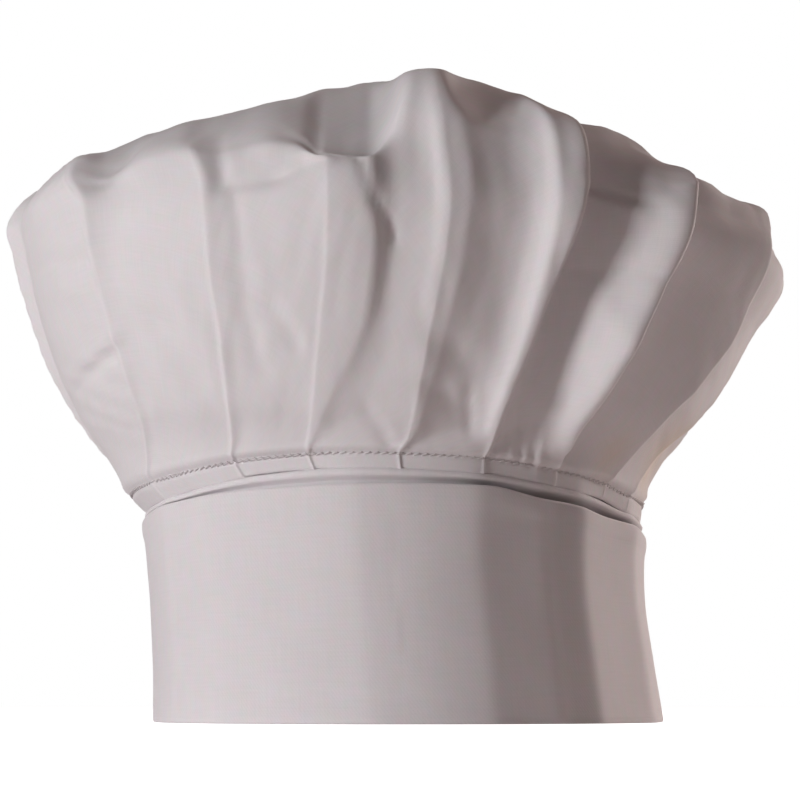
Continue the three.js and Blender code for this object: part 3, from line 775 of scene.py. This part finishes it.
def band_ring(height, inset, z):
    """One ring of the cuff, at a height of its oval, set in by some mm and moved to z."""
    half, deep, drift = smooth_rows(BAND_ROWS[:, 0], BAND_ROWS[:, 1:], height)[0]
    a = np.radians(BAND_ANGLES)
    up = np.full(a.shape, z / UNEVEN_UP)
    spots = np.stack([a * BAND_RADIUS / UNEVEN_ROUND, up, np.full(a.shape, UNEVEN_LAYER)], axis=-1)
    uneven = np.array([noise.noise(Vector(spot)) for spot in spots])
    pucker = np.exp(-((from_front(BAND_ANGLES - PUCKER_AT) / PUCKER_SPREAD) ** 2))
    pucker *= math.exp(-(((z - HEM_HEIGHT) / HEM_WIDTH) ** 2))
    swell = BAND_SWELL - inset + BAND_UNEVEN * uneven - HEM_PUCKER * pucker
    cuff_top = smooth_rows(BAND_TOP_LINE[:, 0], BAND_TOP_LINE[:, 1:], BAND_TURNED)[:, 0]
    # Above the cuff the binding's roll comes to follow the crown's foot instead.
    above = ramp(z, BAND_HEIGHT, BAND_HEIGHT + ROLL_RISE)
    edge = (1 - above) * cuff_top + above * neck_drop(BAND_TURNED, 0)
    lifted = z + min(1, z / BAND_HEIGHT) ** 2 * edge
    return np.stack([drift + (half + swell) * np.sin(a), -(deep + swell) * np.cos(a), lifted], axis=-1)


# The cuff's wall, from its lower edge up the outside, over the fold and down the inside: how far in from
# the oval and how high, mm.
round_top = BAND_WALL / 2
FOLD_REACH, FOLD_SWELL = 8.0, 0.3  # over this height below the fold the cloth swells out by this
fold_starts = BAND_HEIGHT - FOLD_REACH
profile = [(0.7, 0.0), (0.25, 0.15), (0.0, 0.6)]
profile += [(0.0, z) for z in np.linspace(2, fold_starts, 40)]
profile += [
    (-FOLD_SWELL * math.sin(math.pi * t), fold_starts + t * (FOLD_REACH - round_top))
    for t in np.linspace(0, 1, 8)[1:]
]
profile += [
    (round_top * (1 - math.cos(t)), BAND_HEIGHT - round_top * (1 - math.sin(t)))
    for t in np.linspace(0, math.pi, 9)[1:-1]
]
profile += [(BAND_WALL, z) for z in np.linspace(BAND_HEIGHT - round_top, 0.6, 12)]
profile += [(BAND_WALL - 0.3, 0.15), (BAND_WALL - 0.8, 0.0)]
rings = [band_ring(min(z, TOP_ROW), inset, z) for inset, z in profile]
rings.append(rings[0])
BAND_LENGTH = float(np.sum(np.linalg.norm(rings[0] - np.roll(rings[0], 1, axis=0), axis=1)))


def strip_map(row, column, profile):
    """Where each point lay on the strip before its ends were joined: along and across, in metres."""
    steps = np.diff(np.array(profile + profile[:1]), axis=0)
    across = np.concatenate([[0], np.cumsum(np.hypot(steps[:, 0], steps[:, 1]))])
    return np.stack([column / BAND_COLUMNS * BAND_LENGTH, across[row]], axis=-1) * MM


band, row, column = wrap_cloth("band_cuff", np.array(rings))
lay_flat_map(band, strip_map(row, column, profile))
# The fold at the cuff's top gets a painted highlight, most of all on the right, and the outside gets painted
# shade in one upright stretch there.
FOLD_HIGHLIGHT = ((-60.0, 15.0, 35.0, 90.0), (0.4, 0.4, 2.5, 1.0))  # round from the front, degrees, and how much
FOLD_FROM, FOLD_FULL, FOLD_DEPTH = 69.0, 69.5, 1.6  # where the fold starts, where it is full, how far in, mm
STRETCH_SHADE, STRETCH_SHADE_AT, STRETCH_SHADE_SPREAD = 2.6, 39.0, 5.0  # how much, then round from the front, degrees
highlight = np.interp(BAND_TURNED, *FOLD_HIGHLIGHT)
stretch_shade = -STRETCH_SHADE * np.exp(-(((BAND_TURNED - STRETCH_SHADE_AT) / STRETCH_SHADE_SPREAD) ** 4))
fold = np.array([ramp(z, FOLD_FROM, FOLD_FULL) * (inset < FOLD_DEPTH) for inset, z in profile] + [0])
# Painted highlight on the fold, painted shade in the upright stretch.
band_light_shade = fold[row] * highlight[column % BAND_COLUMNS] + (1 - fold[row]) * stretch_shade[column % BAND_COLUMNS]
mark_cloth(band, "painted_light_shade", band_light_shade)
close_seam(band)
twill = cotton("cotton twill", (0.78, 0.738, 0.76), twill_weave, pitch=0.00095, gap_shade=0.05, relief=0.000012)
band.data.materials.append(twill)
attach(band, "root")
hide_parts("band")

# Neck binding
# The narrow folded strip that takes the crown's pleated edge. A soft roll of it shows between the
# stitched strip and the cuff, and the rest runs down inside the cuff.
# From inside the cuff up to the roll, over it and down again: how far in from the oval and how high, mm.
profile = [
    (BAND_WALL + 0.5, 58.0), (BAND_WALL + 0.5, 64.0), (BAND_WALL + 0.7, 68.0), (BAND_WALL + 1.2, 69.6),
    (BAND_WALL + 1.5, 70.4), (BAND_WALL + 1.3, 71.2), (BAND_WALL + 0.5, 71.9), (BAND_WALL - 0.5, 72.6),
    (BAND_WALL - 1.1, 73.3), (BAND_WALL - 1.2, 74.1), (BAND_WALL - 0.8, 74.8), (BAND_WALL + 0.2, 75.3),
    (BAND_WALL + 1.6, 75.3), (BAND_WALL + 2.4, 74.2), (BAND_WALL + 3.0, 72.0), (BAND_WALL + 2.6, 68.0),
    (BAND_WALL + 2.0, 62.0), (BAND_WALL + 2.0, 58.0),
]
OUTER_POINTS = 12  # the points of it that face out
# On the right the strip below the roll has sunk in behind the cuff, and the roll is thinner.
SUNK = np.interp(BAND_TURNED, (5.0, 28.0, 72.0, 100.0), (0.0, 1.0, 1.0, 0.0))
ROLL_THINNER, STRIP_SUNK = 0.4, 1.4  # mm
STRIP_SINKS, STRIP_RISES = (66.0, 69.0), (72.8, 73.4)  # the heights between which it goes in and out, mm
# Painted shade darkens the cloth in the groove above the cuff, deepest where it has sunk in.
GROOVE_SHADE, SUNK_SHADE = 2.2, 4.0
GROOVE_SHADE_ENDS, SUNK_SHADE_ENDS = (70.6, 71.4), (72.2, 73.0)  # the heights between which each of them fades, mm
rings = []
groove = np.zeros((len(profile) + 1, BAND_COLUMNS))
for i, (inset, z) in enumerate(profile):
    below = ramp(z, *STRIP_SINKS) * (1 - ramp(z, *STRIP_RISES))
    rings.append(band_ring(TOP_ROW, inset + SUNK * (ROLL_THINNER + STRIP_SUNK * below), z))
    if i < OUTER_POINTS:
        # Painted shade in the groove and where the strip has sunk in.
        groove[i] -= GROOVE_SHADE * (1 - ramp(z, *GROOVE_SHADE_ENDS)) + SUNK * SUNK_SHADE * (1 - ramp(z, *SUNK_SHADE_ENDS))
rings.append(rings[0])
binding, row, column = wrap_cloth("binding_strip", np.array(rings))
lay_flat_map(binding, strip_map(row, column, profile))
mark_cloth(binding, "painted_light_shade", groove[row, column % BAND_COLUMNS])
close_seam(binding)
tape = cotton("cotton tape", WHITE_COTTON, plain_weave, pitch=0.0004, gap_shade=0.06, relief=0.00001)
binding.data.materials.append(tape)
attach(binding, "root")
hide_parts("neck_binding")

# Floor
# A plain pale floor that the hat rests on. The camera sees it as white, and the hat gets a little warm
# light from it.
bpy.ops.object.select_all(action="DESELECT")
bpy.ops.mesh.primitive_plane_add(size=12, location=(0, 0, 0))
floor = bpy.context.object
floor.name = "studio_floor"
material, tree, shader, add, _ = node_graph("pale floor")
shader.inputs["Base Color"].default_value = (0.9, 0.9, 0.9, 1)
shader.inputs["Roughness"].default_value = 0.9
WARM_GLOW, WHITE_GLOW = (0.07, 0.058, 0.055, 1), (0.95, 0.95, 0.95, 1)
seen = add("ShaderNodeLightPath").outputs["Is Camera Ray"]
glow = add("ShaderNodeMixRGB", {"Fac": seen, "Color1": WARM_GLOW, "Color2": WHITE_GLOW})
tree.links.new(glow.outputs[0], shader.inputs["Emission Color"])
shader.inputs["Emission Strength"].default_value = 1
floor.data.materials.append(material)


# Lights
# A low key light from the left that rakes over the pleats, a weaker one from behind on the right, a warm
# glow from above, and a white surround that lights the hat only faintly.
def softbox(name, place, aim, width, height, watts, colour=(1, 1, 1)):
    """A soft rectangular lamp that shines from one place to another."""
    data = bpy.data.lights.new(name, "AREA")
    data.shape = "RECTANGLE"
    data.size, data.size_y = width, height
    data.energy = watts
    data.color = colour
    lamp = bpy.data.objects.new(name, data)
    bpy.context.scene.collection.objects.link(lamp)
    lamp.location = place
    lamp.rotation_euler = (Vector(aim) - Vector(place)).to_track_quat("-Z", "Y").to_euler()


softbox("key", place=(-1.80, -1.26, 0.18), aim=(0, 0, 0.12), width=0.5, height=0.3, watts=28.5)
softbox(
    "right back light", place=(1.45, 1.1, 0.25), aim=(0, 0, 0.12), width=0.5, height=0.4, watts=14,
    colour=(1, 0.93, 0.87),
)
softbox(
    "ceiling glow", place=(0.8, 0.38, 1.05), aim=(0, 0, 0.2), width=0.8, height=0.8, watts=3.8,
    colour=(1, 0.8, 0.74),
)

world = bpy.data.worlds.new("studio")
bpy.context.scene.world = world
world.use_nodes = True
nodes, links = world.node_tree.nodes, world.node_tree.links
nodes.clear()
white = nodes.new("ShaderNodeBackground")
white.inputs["Color"].default_value = (1, 1, 1, 1)
ambient = nodes.new("ShaderNodeBackground")
ambient.inputs["Color"].default_value = (1, 0.76, 0.71, 1)
ambient.inputs["Strength"].default_value = 0.065
path = nodes.new("ShaderNodeLightPath")
mix = nodes.new("ShaderNodeMixShader")
surround = nodes.new("ShaderNodeOutputWorld")
links.new(path.outputs["Is Camera Ray"], mix.inputs["Fac"])
links.new(ambient.outputs[0], mix.inputs[1])
links.new(white.outputs[0], mix.inputs[2])
links.new(mix.outputs[0], surround.inputs["Surface"])
bpy.context.scene.view_settings.view_transform = "Standard"

# Camera
# Just above the floor, tilted up to the photo's angle to the hat.
CAMERA_PLACE = (0.0017, -0.8017, 0.006)
CAMERA_PITCH = 7.38  # degrees up
CAMERA_LENS, CAMERA_SENSOR = 105.6, 36  # mm
camera_data = bpy.data.cameras.new("camera")
camera_data.lens = CAMERA_LENS
camera_data.sensor_width = CAMERA_SENSOR
camera = bpy.data.objects.new("camera", camera_data)
bpy.context.scene.collection.objects.link(camera)
camera.location = CAMERA_PLACE
camera.rotation_euler = (math.radians(90 + CAMERA_PITCH), 0, 0)
bpy.context.scene.camera = camera
